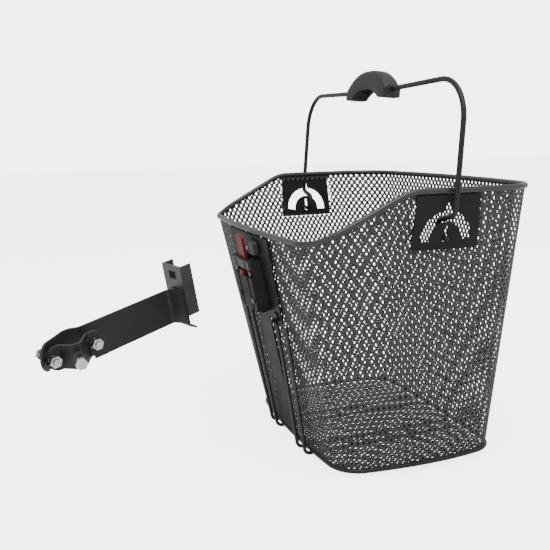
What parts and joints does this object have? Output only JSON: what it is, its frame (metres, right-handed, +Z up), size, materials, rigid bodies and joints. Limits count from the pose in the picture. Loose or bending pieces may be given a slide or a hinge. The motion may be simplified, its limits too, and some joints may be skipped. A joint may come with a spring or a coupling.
{
  "type": "handlebar basket",
  "caption": "Tapered expanded-mesh bicycle basket with a swinging carry handle and a quick-release receiver, shown beside its stem bracket.",
  "frame": {"origin": "centre of the upper face of the basket's mesh base", "axes": "+Z up, +Y forwards (away from the rider), +X to the rider's right"},
  "size_m": [0.3538, 0.4732, 0.4011],
  "materials": {
    "expanded_mesh": "satin black powder coat",
    "wire": "satin black powder coat",
    "sheet_steel": "satin black powder coat",
    "bracket_steel": "satin black powder coat",
    "housing_plastic": "moulded, fine texture",
    "cover_plastic": "moulded, fine texture",
    "lever_plastic": "semi-gloss",
    "grip_plastic": "satin moulded",
    "black_zinc": "black zinc plate",
    "zinc": "bright zinc plate"
  },
  "bodies": {
    "basket": {"backing_plate": "sheet_steel", "back_strap": "sheet_steel", "receiver_housing": "housing_plastic", "receiver_top_band": "cover_plastic", "receiver_screw_1": "black_zinc", "receiver_nut_1": "zinc", "receiver_screw_2": "black_zinc", "receiver_nut_2": "zinc", "receiver_screw_3": "black_zinc", "receiver_nut_3": "zinc", "receiver_screw_4": "black_zinc", "receiver_nut_4": "zinc", "inner_clamp_plate": "sheet_steel", "lever_pin": "zinc", "lever_spring": "zinc", "guide_boss": "cover_plastic", "guide_boss_screw": "zinc", "lower_tab": "sheet_steel", "mesh_wall": "expanded_mesh", "mesh_base": "expanded_mesh", "rim_wire": "wire", "base_frame_wire": "wire", "support_wire_1": "wire", "support_wire_2": "wire", "support_wire_3": "wire", "support_wire_4": "wire", "handle_plate_left": "sheet_steel", "handle_plate_right": "sheet_steel"},
    "handle": {"handle_wire": "wire", "handle_grip": "grip_plastic"},
    "lever": {"release_lever": "lever_plastic"},
    "bracket": {"bracket_channel": "bracket_steel", "bracket_arm": "bracket_steel", "clamp_saddle": "bracket_steel", "clamp_bolt_1": "zinc", "clamp_washer_1": "zinc", "clamp_nut_1": "zinc", "clamp_bolt_2": "zinc", "clamp_washer_2": "zinc", "clamp_nut_2": "zinc", "set_bolt": "zinc", "set_nut": "black_zinc"}
  },
  "joints": [
    {"name": "handle_swing", "type": "hinge", "parent": "basket", "child": "handle", "pos_m": [0, -0.0063, 0.2361], "axis": [1, 0, 0], "range_deg": [-78, 82]},
    {"name": "lever_press", "type": "hinge", "parent": "basket", "child": "lever", "pos_m": [0, -0.13343, 0.15833], "axis": [-1, 0, 0], "range_deg": [0, 4.2], "stiffness_Nm_per_rad": 0.6, "springref_deg": -2.86},
    {"name": "bracket_dock", "type": "hinge", "parent": "basket", "child": "bracket", "pos_m": [0.2, -0.1522, 0.19916], "axis": [0, -0.0785, -0.9969], "range_deg": [0, 21.9]}
  ]
}
